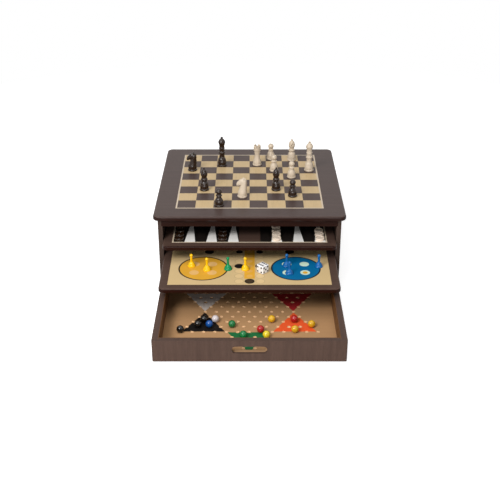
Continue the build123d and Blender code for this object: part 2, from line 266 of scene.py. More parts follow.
class Finish(Nodes):
    """A material in the making: its shader and the nodes that feed it. A mask
    is one where it covers and nought elsewhere."""

    def __init__(self, name, roughness, sheen=0.5):
        self.material = bpy.data.materials.new(name)
        self.material.use_nodes = True
        super().__init__(self.material.node_tree)
        self.shader = self.tree.nodes["Principled BSDF"]
        self.shader.inputs["Roughness"].default_value = roughness
        self.shader.inputs["Specular IOR Level"].default_value = sheen

    def place(self):
        return self.node("TexCoord", "Object")

    def axes(self, vector):
        """The three numbers of a vector."""
        made = self.tree.nodes.new("ShaderNodeSeparateXYZ")
        self.feed(made.inputs[0], vector)
        return tuple(made.outputs)

    def reach(self, x, y):
        """How far the place (x, y) lies from nought."""
        squares = (self.math("MULTIPLY", value, value) for value in (x, y))
        return self.math("SQRT", self.math("ADD", *squares))

    def both(self, *masks):
        """The product of masks, which covers only where all of them do."""
        product = masks[0]
        for mask in masks[1:]:
            product = self.math("MULTIPLY", product, mask)
        return product

    def disc(self, middle, radius):
        """Covers a circle about a middle (x, y), in metres."""
        x, y, _ = self.axes(self.mapped(self.place(), origin=(*middle, 0)))
        return self.ramp(self.reach(x, y), radius - DISC_SOFT, radius + DISC_SOFT, 1, 0)

    def mapped(self, vector, scale=(1, 1, 1), turn=0.0, origin=(0, 0, 0)):
        """Moved to an origin, then scaled, then turned about Z."""
        moved = self.node(
            "VectorMath", settings={"operation": "SUBTRACT"}, _0=vector, _1=origin
        )
        return self.node("Mapping", Vector=moved, Rotation=(0, 0, turn), Scale=scale)

    def noise(self, vector, detail=2.0, distortion=0.0):
        return self.node(
            "TexNoise", Vector=vector, Scale=1.0, Detail=detail, Distortion=distortion
        )

    def specks(self, per_metre, detail=2.0, distortion=0.0):
        """Even noise with so many cells in a metre of the piece."""
        return self.noise(self.mapped(self.place(), [per_metre] * 3), detail, distortion)

    def mix(self, mask, under, over):
        """Colour under, covered by colour over where the mask is one."""
        return self.node(
            "Mix", 2, {"data_type": "RGBA", "clamp_factor": True}, _0=mask, _6=under, _7=over
        )

    def tinted(self, tint, amount, factor):
        """A colour times (1 + amount x (factor - 0.5))."""
        gain = self.ramp(factor, 0, 1, 1 - amount / 2, 1 + amount / 2)
        shade = self.node("CombineXYZ", _0=gain, _1=gain, _2=gain)
        return self.node(
            "VectorMath", settings={"operation": "MULTIPLY"}, _0=tint, _1=shade
        )

    def surface(self, base, height, depth, strength, roughness=None):
        """Wire the colour, the relief (depth in metres) and the roughness into
        the shader."""
        self.feed(self.shader.inputs["Base Color"], base)
        if roughness is not None:
            self.feed(self.shader.inputs["Roughness"], roughness)
        relief = self.node("Bump", Strength=strength, Distance=depth, Height=height)
        self.feed(self.shader.inputs["Normal"], relief)
        return self.material


def grain(finish, wood, along):
    """Printed wood grain that runs along one axis: (fibres, bands, pores), each
    a noise field stretched by a different amount along that axis."""
    def stretched(width, stretch, detail, distortion=0.0):
        scale = [1 / width] * 3
        scale["xyz".index(along)] = 1 / (width * stretch)
        return finish.noise(finish.mapped(finish.place(), scale), detail, distortion)

    fibres = stretched(wood.fibre, 40, 3)
    bands = stretched(wood.band, 18, 2, 0.4)
    pores = finish.ramp(stretched(wood.fibre * 0.7, 22, 1), 0.60, 0.72)
    return fibres, bands, pores


def grained(finish, wood, tone, along, band, fibre, pore, pore_shade):
    """A tone with grain in it: (colour, fibres, bands). band and fibre say how
    far each varies the tone; pore is the cover of the darker pores, whose
    colour is pore_shade times the tone."""
    fibres, bands, pores = grain(finish, wood, along)
    base = finish.tinted(finish.tinted(tone, band, bands), fibre, fibres)
    cover = finish.math("MULTIPLY", pores, pore)
    return finish.mix(cover, base, [c * pore_shade for c in tone]), fibres, bands


def foil(name, wood, tone, along, edge_below=None, edge_before=None, gloss=0.42, sheen=0.10):
    """Wood-print foil with straight grain. Below edge_below (metres above the
    table) the piece shows its dark, glossier lacquered edge, and so it does in
    front of edge_before, where its top rounds over."""
    finish = Finish(name, gloss, sheen)
    base, fibres, bands = grained(finish, wood, tone, along, 0.34, 0.30, 0.45, 0.45)
    rough = finish.ramp(fibres, 0.3, 0.7, gloss - 0.06, gloss + 0.08)
    if edge_below is not None:
        _, y, up = finish.axes(finish.place())
        low, high = (edge_below + fade for fade in EDGE_FADE)
        edge = finish.ramp(up, low, high, 1, 0)
        if edge_before is not None:
            front = finish.ramp(y, edge_before - FRONT_FADE, edge_before, 1, 0)
            edge = finish.math("MAXIMUM", edge, front)
        base = finish.mix(edge, base, finish.tinted(wood.edge, 0.3, bands))
        rough = finish.ramp(edge, 0, 1, gloss, 0.30)
    return finish.surface(base, fibres, 0.00012, 0.35, rough)


def veneer(name, wood, tone, along, contrast=1.0):
    """Pale sliced veneer: fine fibres, broad bands and a few brown flecks."""
    finish = Finish(name, 0.45, 0.25)
    strengths = [contrast * part for part in (0.22, 0.20, 0.30)]
    base, fibres, _ = grained(finish, wood, tone, along, *strengths, 0.55)
    return finish.surface(base, fibres, 0.0001, 0.3)


def hardboard(name, tone):
    """Pressed fibre board: short matted fibres in every direction."""
    finish = Finish(name, 0.75)
    mat = finish.specks(700, 5, 0.8)
    base = finish.tinted(finish.tinted(tone, 0.7, mat), 0.3, finish.specks(35))
    return finish.surface(base, mat, 0.0002, 0.5)


def ink(name, tone, along=None, contrast=0.15):
    """A flat print with a little mottle, or streaks where along names an axis."""
    finish = Finish(name, 0.38, 0.2)
    scale = [900] * 3
    if along:
        scale["xyz".index(along)] = 25
    mottle = finish.noise(finish.mapped(finish.place(), scale), 3)
    return finish.surface(finish.tinted(tone, contrast, mottle), mottle, 0.00005, 0.2)


def plastic(name, tone, gloss, sheen=0.35):
    """Moulded plastic: a faint cloudiness in the colour, fine flow ripples in
    the skin and slightly worn, uneven gloss."""
    finish = Finish(name, gloss, sheen)
    skin = finish.specks(SKIN_SPECKS)
    rough = finish.ramp(skin, 0.3, 0.7, gloss - 0.05, gloss + 0.07)
    base = finish.tinted(tone, 0.10, finish.specks(160))
    return finish.surface(base, skin, 0.00004, 0.25, rough)


def marble_glass(name, tone, front_tone=None):
    """Solid-colour glass: soft clouds under a smooth skin. With front_tone, a
    marble in front of LEMON_LINE takes that colour."""
    finish = Finish(name, 0.14, 0.45)
    cloud = finish.specks(120, 3, 0.6)
    base = finish.tinted(tone, 0.16, cloud)
    if front_tone is not None:
        y = finish.axes(finish.place())[1]
        front = finish.ramp(y, LEMON_LINE - LEMON_FADE, LEMON_LINE, 1, 0)
        base = finish.mix(front, base, finish.tinted(front_tone, 0.16, cloud))
    return finish.surface(base, cloud, 0.00003, 0.15)


def die_plastic(name, tone, pip_tone):
    """White plastic with paint in every hollow; the mesh's own pip attribute is
    a point's distance from the nearest pip, in pip radii."""
    finish = Finish(name, 0.22)
    reach = finish.node("Attribute", "Fac", {"attribute_name": PIP_ATTRIBUTE})
    paint = finish.ramp(reach, 0.92, 1.0, 1, 0)
    skin = finish.specks(SKIN_SPECKS)
    base = finish.mix(paint, finish.tinted(tone, 0.05, skin), pip_tone)
    return finish.surface(base, skin, 0.00003, 0.2)


def assign(material, *nodes):
    """Give carried-over CAD nodes their finish."""
    for node in nodes:
        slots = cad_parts[node].material_slots
        if not slots:
            raise RuntimeError(f"{node} has no material slot")
        for slot in slots:
            slot.material = material


# ------------------------------------------------------------- mesh making
def quads(rows, columns, wrap):
    """Faces of a grid of points, numbered row by row; wrap joins the last
    column to the first."""
    row = np.arange(rows - 1)[:, None]
    column = np.arange(columns if wrap else columns - 1)[None, :]
    after = (column + 1) % columns
    corners = (row * columns + column, row * columns + after,
               (row + 1) * columns + after, (row + 1) * columns + column)
    return np.stack([c.ravel() for c in corners], axis=1)


def shell(grid, wrap=True):
    """(points, faces) of a surface given as rows x columns x 3."""
    rows, columns, _ = grid.shape
    return grid.reshape(-1, 3), quads(rows, columns, wrap)


def joined(shells):
    """Several shells as one (points, faces)."""
    starts = np.cumsum([0] + [len(points) for points, _ in shells[:-1]])
    points = np.concatenate([points for points, _ in shells])
    return points, np.concatenate([faces + start for (_, faces), start in zip(shells, starts)])


def moved(shape, place, tilt=0.0, turn=0.0):
    """A shape tilted about Y, then turned about Z, then moved."""
    points, faces = shape
    ct, st, cz, sz = math.cos(tilt), math.sin(tilt), math.cos(turn), math.sin(turn)
    lean = np.array([[ct, 0, st], [0, 1, 0], [-st, 0, ct]])
    spin = np.array([[cz, -sz, 0], [sz, cz, 0], [0, 0, 1]])
    return points @ (spin @ lean).T + np.array(place), faces


CREASE = math.radians(38)  # edges that bend by more than this stay sharp
WELD = 1e-6  # points nearer than this (metres) become one


def piece(name, shape, material, body, node, pip_reach=None):
    """A finished object from a shape in millimetres, with seams and poles
    welded, that rides on a body and stands for a node. pip_reach gives each
    point's value of the pip attribute."""
    points, faces = shape
    mesh = bpy.data.meshes.new(name)
    mesh.from_pydata((points * MM).tolist(), [], [f.tolist() for f in faces])
    if pip_reach is not None:
        attribute = mesh.attributes.new(PIP_ATTRIBUTE, "FLOAT", "POINT")
        attribute.data.foreach_set("value", pip_reach.astype(np.float32))
    work = bmesh.new()
    work.from_mesh(mesh)
    bmesh.ops.remove_doubles(work, verts=work.verts, dist=WELD)
    bmesh.ops.recalc_face_normals(work, faces=work.faces)
    work.to_mesh(mesh)
    work.free()
    mesh.shade_smooth()
    mesh.set_sharp_from_angle(angle=CREASE)
    mesh.materials.append(material)
    made = bpy.data.objects.new(name, mesh)
    bpy.context.collection.objects.link(made)
    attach(made, body)
    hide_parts(node)


# -------------------------------------------------------- turned outlines
def outline(*steps, points=7):
    """A turned outline as (radius, height) rows, from the middle of the foot
    through each step (radius, height, bow). A stretch is its straight line
    plus a parabola that stands out by bow half way."""
    line = [np.zeros((1, 2))]
    t = np.linspace(0, 1, points + 1)[1:, None]
    for radius, height, *bow in steps:
        start = line[-1][-1]
        chord = np.array([radius, height]) - start
        normal = np.array([chord[1], -chord[0]]) / np.hypot(*chord)
        bend = (bow[0] if bow else 0) * 4 * t * (1 - t) * normal
        line.append(start + t * chord + bend)
    return np.concatenate(line)


def topped(line, radius, top, points=18):
    """The outline ended in a ball: from the neck round a circle to its top."""
    middle = top - radius
    start = math.asin(min(1, line[-1][0] / radius))
    angle = np.linspace(start, math.pi, points)
    ball = np.stack([radius * np.sin(angle), middle - radius * np.cos(angle)], axis=1)
    return np.concatenate([line, ball])


def lathe(line, segments, radius_gain=None, height_at=None):
    """An outline turned about Z: x = r cos a, y = r sin a. radius_gain and
    height_at may change r and h with the angle."""
    angle = np.linspace(0, 2 * math.pi, segments, endpoint=False)
    radius = np.repeat(line[:, :1], segments, axis=1)
    height = np.repeat(line[:, 1:], segments, axis=1)
    if height_at is not None:
        height = height_at(radius, height, angle)
    if radius_gain is not None:
        radius = radius * radius_gain(radius, height, angle)
    return shell(np.stack([radius * np.cos(angle), radius * np.sin(angle), height], axis=-1))


def foot(radius, shoulder):
    """The moulded foot of every chess piece: a rolled base, a groove, and a
    full dome that has come in to shoulder x radius at its top."""
    return (
        (radius - 0.6, 0), (radius, 0.6, 0.15), (radius, 3.0, 0.3), (0.87 * radius, 3.9),
        (0.93 * radius, 4.5, 0.1), (0.94 * radius, 6.0, 0.1),
        (shoulder * radius, 12.0, 0.03 * radius),
    )


def pawn_shape(segments):
    line = outline(
        *foot(8.6, 0.84), (5.8, 15.0, 0.05), (4.5, 18.0, -0.3), (4.4, 19.3), (5.6, 20.2),
        (6.0, 21.1, 0.2), (5.5, 21.9, 0.1), (4.4, 22.7, -0.1), (4.2, 23.9),
    )
    return lathe(topped(line, 5.8, 34.0), segments)


def rook_shape(segments):
    """The top ring drops to its floor in four gaps."""
    line = outline(
        *foot(9.0, 0.78), (4.8, 25.0, -0.4), (5.8, 26.2), (6.1, 27.1, 0.2), (5.4, 28.3, -0.1),
        (7.3, 31.6, -0.3), (7.3, 42.1), (7.0, 42.4), (5.2, 42.4), (5.0, 37.8), (0, 37.5),
    )
    half_gap = math.radians(13)

    def battlements(radius, height, angle):
        quarter = np.abs((angle + math.pi / 4) % (math.pi / 2) - math.pi / 4)
        return np.where((quarter < half_gap) & (radius > 4.0), np.minimum(height, 38.8), height)

    return lathe(line, segments, height_at=battlements)


def bishop_shape(segments):
    """A mitre with a slanting slot: the skin is pulled in near a plane."""
    line = outline(
        *foot(8.8, 0.86), (7.0, 15.5, 0.1), (5.1, 18.6, -0.2), (5.0, 19.8), (6.1, 21.0),
        (6.5, 22.4, 0.2), (6.1, 23.8, 0.1), (5.0, 25.0, -0.1), (4.9, 27.4), points=8,
    )
    mitre = outline((4.9, 0), (6.5, 4.6, 0.3), (5.6, 10.6, 0.3), (2.5, 15.2, 0.6), (1.8, 15.8),
                    points=18)[19:]
    line = topped(np.concatenate([line, mitre + (0, 27.4)]), 2.0, 46.4)

    def slot(radius, height, angle):
        across = (radius * np.cos(angle) - 2.6) * math.cos(0.66) - (height - 38.0) * math.sin(0.66)
        near = np.exp(-((across / 0.55) ** 4))
        return 1 - 0.42 * near * (height > 31.5) * (height < 42.6) * (np.cos(angle) > -0.25)

    return lathe(line, segments, radius_gain=slot)


def king_shape(segments):
    """A flared, lightly fluted crown with a cross on its dome."""
    line = outline(
        *foot(9.4, 0.84), (7.3, 15.5, 0.1), (5.3, 20.5, -0.3), (5.0, 25.6), (6.1, 27.2),
        (6.7, 28.6, 0.2), (6.4, 30.2, 0.1), (5.3, 31.6, -0.1), (5.2, 36.4), (5.8, 37.4),
        (6.0, 38.4, 0.15), (5.5, 39.6), (5.1, 41.0), (7.3, 50.6, -0.4), (7.3, 51.7, 0.15),
        (6.8, 52.6), (2.6, 58.4, 0.7), (1.6, 59.0), (0, 59.2),
    )

    def flutes(radius, height, angle):
        rise = np.clip((height - 41) / 9, 0, 1) * (height < 52.0)
        return 1 + 0.03 * rise * (np.cos(10 * angle) - 1)

    upright = moved(rounded_block((1.3, 1.2, 2.3), 0.4), (0, 0, 59.9))
    arms = moved(rounded_block((2.6, 1.2, 0.9), 0.4), (0, 0, 60.4))
    return joined([lathe(line, segments, radius_gain=flutes), upright, arms])


def smooth_rows(knots, count):
    """Rows carried smoothly through the knots by a cubic whose slope at each
    knot is the mean of the slopes on both sides of it."""
    knots = np.array(knots, float)
    at = np.linspace(0, len(knots) - 1, count)
    k = np.minimum(at.astype(int), len(knots) - 2)
    t = (at - k)[:, None]
    slope = np.gradient(knots, axis=0)
    return (
        knots[k] * (1 + 2 * t) * (1 - t) ** 2 + slope[k] * t * (1 - t) ** 2
        + knots[k + 1] * t**2 * (3 - 2 * t) - slope[k + 1] * t**2 * (1 - t)
    )


KNIGHT_FOOT = 9.0


def knight_shape(segments):
    """A horse's head and neck on a turned foot. Each section is an oval whose
    long axis joins the throat line to the mane line; ripples along the mane
    line stand for the hair."""
    base = outline(
        (KNIGHT_FOOT - 0.6, 0), (KNIGHT_FOOT, 0.6, 0.15), (KNIGHT_FOOT, 3.0, 0.3), (7.8, 3.9),
        (8.4, 4.5, 0.1), (8.5, 6.0, 0.1), (8.0, 11.4, 0.2), (0, 12.2),
    )
    # knots: throat x, z; mane x, z; half width
    sections = smooth_rows(
        [
            (-7.5, 9.6, 7.8, 9.6, 7.2), (-7.4, 12.4, 8.2, 14.4, 6.5), (-6.2, 16.5, 8.3, 20.5, 5.7),
            (-4.6, 20.0, 8.3, 27.2, 5.1), (-4.0, 22.4, 7.8, 33.0, 4.7), (-4.4, 23.4, 5.2, 36.4, 4.4),
            (-5.5, 23.2, 1.2, 37.2, 4.2), (-6.9, 22.6, -2.8, 35.6, 3.7),
            (-8.5, 22.0, -6.6, 32.6, 3.0), (-9.9, 22.1, -9.6, 29.6, 2.4),
            (-10.8, 23.0, -10.9, 26.6, 1.6), (-11.15, 24.2, -11.25, 25.0, 0.5),
        ],
        56,
    )
    throat, mane, width = sections[:, 0:2], sections[:, 2:4], sections[:, 4:5]
    angle = np.linspace(0, 2 * math.pi, 40, endpoint=False)
    c, s = np.cos(angle), np.sin(angle)
    along = np.sign(c) * np.abs(c) ** 0.9  # -1 at the throat, +1 at the mane
    across = np.sign(s) * np.abs(s) ** 0.8
    step = np.linspace(0, 1, len(sections))[:, None]
    crest = np.exp(-((1 - along) / 0.10) ** 2) * np.clip((0.58 - step) * 12, 0, 1)
    reach = 1 + crest * (0.050 + 0.035 * np.sin(step * 75))
    middle, half = (throat + mane) / 2, (mane - throat) / 2
    plane = middle[:, None, :] + half[:, None, :] * (along * reach)[..., None]
    pinch = 1 - 0.55 * crest
    grid = np.stack([plane[..., 0], width * across * pinch, plane[..., 1]], axis=-1)
    tips = [np.broadcast_to(row.mean(axis=0), row.shape)[None] for row in (grid[0], grid[-1])]
    head = shell(np.concatenate([tips[0], grid, tips[1]]))

    ear_line = outline((1.5, 0), (1.35, 1.8, 0.2), (0.0, 4.2, 0.25))
    ears = [moved(lathe(ear_line, 20), (3.0, side * 2.4, 34.5), tilt=-0.20) for side in (-1, 1)]
    eye = topped(outline((0.02, 0.0)), 0.85, 1.7)
    eyes = [moved(lathe(eye, 16), (-4.6, side * 3.3, 31.6)) for side in (-1, 1)]
    return joined([lathe(base, segments), head, *ears, *eyes])


def checker_shape(segments):
    """A flat man with a rounded rim, a groove and a hollow middle."""
    line = outline(
        (7.6, 0), (8.2, 0.6, 0.15), (8.2, 3.9), (7.6, 4.6, 0.2), (6.4, 4.6), (6.0, 4.1, -0.05),
        (5.5, 4.0), (4.6, 4.0), (4.2, 4.3, 0.05), (0, 4.3), points=3,
    )
    return lathe(line, segments)


def ludo_pawn_shape(segments):
    """A flared foot, a thin stem and a round head."""
    line = outline(
        (6.9, 0), (7.3, 0.4, 0.08), (7.3, 1.8, 0.1), (7.0, 2.3), (6.5, 3.1), (4.0, 7.9, 0.4),
        (2.4, 10.0, -0.2), (2.1, 13.0, -0.1), (2.1, 19.7),
    )
    return lathe(topped(line, 3.0, 24.8), segments)


ROUND_STEPS = 5  # grid lines across half of a rounded edge


def block_lines(half, round_by, flat_steps):
    """Grid lines across one face: even on the flat, and at even angles of the
    rounding beyond it."""
    flat = half - round_by
    edge = flat + round_by * np.tan(np.linspace(0, math.pi / 4, ROUND_STEPS + 1)[1:])
    return np.concatenate([-edge[::-1], np.linspace(-flat, flat, flat_steps + 1), edge])


def rounded_block(half, round_by, flat_steps=1, dent=None):
    """A block with rounded edges. A point of the plain block is drawn back to
    the inner block, and then pushed out by the rounding along the same line.
    dent(axis, side, a, b) may give how deep a face is hollowed at (a, b), and a
    second value that is then returned for every point."""
    half = np.array(half, float)
    inner = half - round_by
    shells, values = [], []
    for axis in range(3):
        first, second = (axis + 1) % 3, (axis + 2) % 3
        a, b = np.meshgrid(
            block_lines(half[first], round_by, flat_steps),
            block_lines(half[second], round_by, flat_steps), indexing="ij",
        )
        for side in (-1, 1):
            plain = np.zeros(a.shape + (3,))
            plain[..., axis] = side * half[axis]
            plain[..., first], plain[..., second] = a, b
            core = np.clip(plain, -inner, inner)
            out = plain - core
            skin = core + round_by * out / np.linalg.norm(out, axis=-1, keepdims=True)
            if dent is not None:
                depth, value = dent(axis, side, a, b)
                skin[..., axis] -= side * depth
                values.append(value.ravel())
            shells.append(shell(skin, wrap=False))
    shape = joined(shells)
    return (shape, np.concatenate(values)) if dent is not None else shape


PIP_RADIUS = 1.85
PIP_SPREAD = 4.3  # from a face's middle to its outer pips, along each axis
PIP_DEPTH = 0.55
DIE_ROUND = 2.0
DIE_STEPS = 44  # grid lines across a face's flat
DIE_TURN = math.radians(45)
# (axis, side) of each face and the number on it
DIE_FACES = {(2, 1): 6, (2, -1): 1, (1, -1): 5, (1, 1): 2, (0, -1): 4, (0, 1): 3}


def pip_places(count):
    """Middles of a face's pips; a six has its two rows along the first axis."""
    corners = [(-1, -1), (1, 1)]
    places = {
        1: [(0, 0)], 2: corners, 3: corners + [(0, 0)],
        4: corners + [(-1, 1), (1, -1)], 5: corners + [(-1, 1), (1, -1), (0, 0)],
        6: corners + [(-1, 1), (1, -1), (-1, 0), (1, 0)],
    }
    return np.array(places[count]) * PIP_SPREAD


def die_shape(half):
    """A rounded cube with bowl-shaped pips, and each point's distance from the
    nearest pip in pip radii."""
    def pips(axis, side, a, b):
        places = pip_places(DIE_FACES[axis, side])
        reach = np.hypot(a[..., None] - places[:, 0], b[..., None] - places[:, 1]).min(axis=-1)
        reach = reach / PIP_RADIUS
        return PIP_DEPTH * np.clip(1 - reach**2, 0, None), np.minimum(reach, 2)

    return rounded_block((half,) * 3, DIE_ROUND, flat_steps=DIE_STEPS, dent=pips)


# ------------------------------------------------------------ drilled board
CELL_STEPS = 6  # grid lines across one hole's cell, each way
HOLE_RADIUS = 3.2
HOLE_DEPTH = 1.6
HOLE_LIP = 0.25  # how wide and how deep the edge of a hole is softened


def star_holes():
    """(half pitch, row) of all 121 holes, about the star's middle."""
    return [
        (step, row)
        for row in range(-8, 9)
        for step in range(1 - STAR_COUNTS[abs(row)], STAR_COUNTS[abs(row)], 2)
    ]


def star_place(step, row):
    x, y = STAR_MIDDLE
    return x + step * HOLE_PITCH / 2, y + row * HOLE_ROW, top_of("star_board") / MM


def hole_patch():
    """One cell of the board: rings run from its square border to the hole's
    lip and down a bowl, r = R cos p and z = -D sin p."""
    side = np.arange(CELL_STEPS) / CELL_STEPS
    x = np.concatenate([side * 0 + 0.5, 0.5 - side, side * 0 - 0.5, side - 0.5]) * HOLE_PITCH
    y = np.concatenate([side - 0.5, side * 0 + 0.5, 0.5 - side, side * 0 - 0.5]) * HOLE_ROW
    border = np.stack([x, y, x * 0], axis=-1)
    turn = np.arctan2(y, x)
    bowl = np.radians([0, 30, 60, 90])
    radii = np.concatenate([[HOLE_RADIUS + HOLE_LIP], HOLE_RADIUS * np.cos(bowl)])
    drops = np.concatenate([[0], -HOLE_LIP - (HOLE_DEPTH - HOLE_LIP) * np.sin(bowl)])
    rings = np.stack(
        [radii[:, None] * np.cos(turn), radii[:, None] * np.sin(turn),
         np.repeat(drops[:, None], len(turn), axis=1)], axis=-1,
    )
    return np.concatenate([border[None], rings])


def star_board_shape():
    """A plate as a grid of lines that fall on every cell's border, with the
    cells under the holes taken out and drilled patches put in."""
    low, high = (np.array(corner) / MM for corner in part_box("star_board"))
    spacing = np.array([HOLE_PITCH, HOLE_ROW]) / CELL_STEPS

    def lines(axis):
        middle = STAR_MIDDLE[axis]
        below = int((middle - low[axis]) / spacing[axis] - 0.02)
        above = int((high[axis] - middle) / spacing[axis] - 0.02)
        inside = middle + np.arange(-below, above + 1) * spacing[axis]
        return np.concatenate([low[axis : axis + 1], inside, high[axis : axis + 1]]), below + 1

    (xs, x_zero), (ys, y_zero) = lines(0), lines(1)
    grid = np.stack(np.meshgrid(xs, ys) + [np.full((len(ys), len(xs)), high[2])], axis=-1)
    keep = np.ones((len(ys) - 1, len(xs) - 1), bool)
    reach = CELL_STEPS // 2
    holes = star_holes()
    for step, row in holes:
        x, y = x_zero + step * reach, y_zero + row * CELL_STEPS
        keep[y - reach : y + reach, x - reach : x + reach] = False
    points, faces = shell(grid, wrap=False)
    top = points, faces[keep.ravel()]

    patch = hole_patch()
    places = np.array([star_place(*hole) for hole in holes])
    cells = (patch.reshape(-1, 3)[None] + places[:, None]).reshape(-1, 3)
    one = quads(*patch.shape[:2], wrap=True)
    starts = np.arange(len(holes)) * patch[..., 0].size
    cell_faces = (one[None] + starts[:, None, None]).reshape(-1, 4)

    # rim: the board's outer border, carried down and closed underneath
    rim = np.concatenate([grid[0, :-1], grid[:-1, -1], grid[-1, :0:-1], grid[:0:-1, 0]])
    under = rim * (1, 1, 0) + (0, 0, low[2])
    below = np.repeat(under.mean(axis=0)[None], len(rim), axis=0)
    return joined([top, (cells, cell_faces), shell(np.stack([rim, under, below]))])


# ---------------------------------------------------------------- operators
# how far below its top, and behind its front, a board's foil ends (metres)
LID_EDGE = 0.0012
TRAY_EDGE = 0.0010
TRAY_FRONT_EDGE = 0.0034
LID_SHEEN = 0.16
LINE_CONTRAST = 0.5  # of the grain in the thin light lines


def top_of(node):
    """The height of a node's top, in metres."""
    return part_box(node)[1].z


class GAMESBOX_OT_case(Operator):
    """Foil on the case and lid, hardboard behind, stained runners inside"""

    bl_idname = "gamesbox.case"
    bl_label = "Case"
    bl_options = {"REGISTER", "UNDO"}

    def execute(self, context):
        settings = context.scene.games_box_wood
        edge = top_of("top_board") - LID_EDGE
        lid = foil("lid_foil", settings, settings.lid, "x", edge, sheen=LID_SHEEN)
        assign(lid, "top_board")
        assign(foil("side_foil", settings, settings.side, "z"), "left_side", "right_side")
        # The front rail takes the dark edge tone over its grained foil: this is painted shade,
        # standing in for the shade under the lid's overhang.
        assign(foil("rail_foil", settings, settings.edge, "x"), "front_rail")
        assign(hardboard("brown_hardboard", settings.back), "back_panel", "base_panel")
        stain = foil("runner_stain", settings, settings.tray, "y", gloss=0.6)
        assign(stain, "upper_runners", "lower_runners")
        return {"FINISHED"}


class GAMESBOX_OT_chess_board(Operator):
    """Veneer squares and the light line of the chess board"""

    bl_idname = "gamesbox.chess_board"
    bl_label = "Chess board"
    bl_options = {"REGISTER", "UNDO"}

    def execute(self, context):
        settings = context.scene.games_box_wood
        assign(veneer("light_squares", settings, settings.inlay, "y"), "chess_light_squares")
        dark = foil("dark_squares", settings, settings.lid, "x", sheen=LID_SHEEN)
        assign(dark, "chess_dark_squares")
        line = veneer("chess_line", settings, settings.line, "x", LINE_CONTRAST)
        assign(line, "chess_border_line")
        return {"FINISHED"}


class GAMESBOX_OT_backgammon_tray(Operator):
    """Foil board with black fields and light and dark points"""

    bl_idname = "gamesbox.backgammon_tray"
    bl_label = "Backgammon tray"
    bl_options = {"REGISTER", "UNDO"}

    def execute(self, context):
        settings, colours = context.scene.games_box_wood, context.scene.games_box_inks
        edge = top_of("backgammon_tray_board") - TRAY_EDGE
        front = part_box("backgammon_tray_board")[0].y + TRAY_FRONT_EDGE
        board = foil("upper_tray_foil", settings, settings.tray, "x", edge, front)
        assign(board, "backgammon_tray_board")
        assign(ink("field_black", colours.black), "backgammon_fields")
        assign(ink("point_white", colours.white, "y", 0.28), "backgammon_light_points")
        dark = [c * 1.5 for c in colours.black]
        assign(ink("point_dark", dark, "y", 0.5), "backgammon_dark_points")
        line = veneer("tray_line", settings, settings.line, "x", LINE_CONTRAST)
        assign(line, "backgammon_border_line")
        return {"FINISHED"}


LUDO_SQUARE = 18.76
LUDO_MIDDLE = 32.5  # behind the case's front face, with the tray as it stands
LUDO_ARM = 7  # squares from the middle one to the end of an arm
LUDO_HOME = 4.45  # squares from the board's middle to a home's, each way
LUDO_HOME_RADIUS = 45.0
LUDO_HOME_RING = 2.8
LUDO_MAN_SPOT = 16.0  # a man's spot from its home's middle, each way
LUDO_SPOT_RADIUS = 8.6
LUDO_CORE_RADIUS = 4.6  # yellow middle of a spot
LUDO_SOFT = 0.02  # half the width of a printed edge, in squares

# each home: its ink, the side it lies on along X and Y, and its run's direction
LUDO_HOMES = (
    ("yellow", -1, -1, (0, -1)), ("blue", 1, -1, (1, 0)),
    ("red", 1, 1, (0, 1)), ("green", -1, 1, (-1, 0)),
)


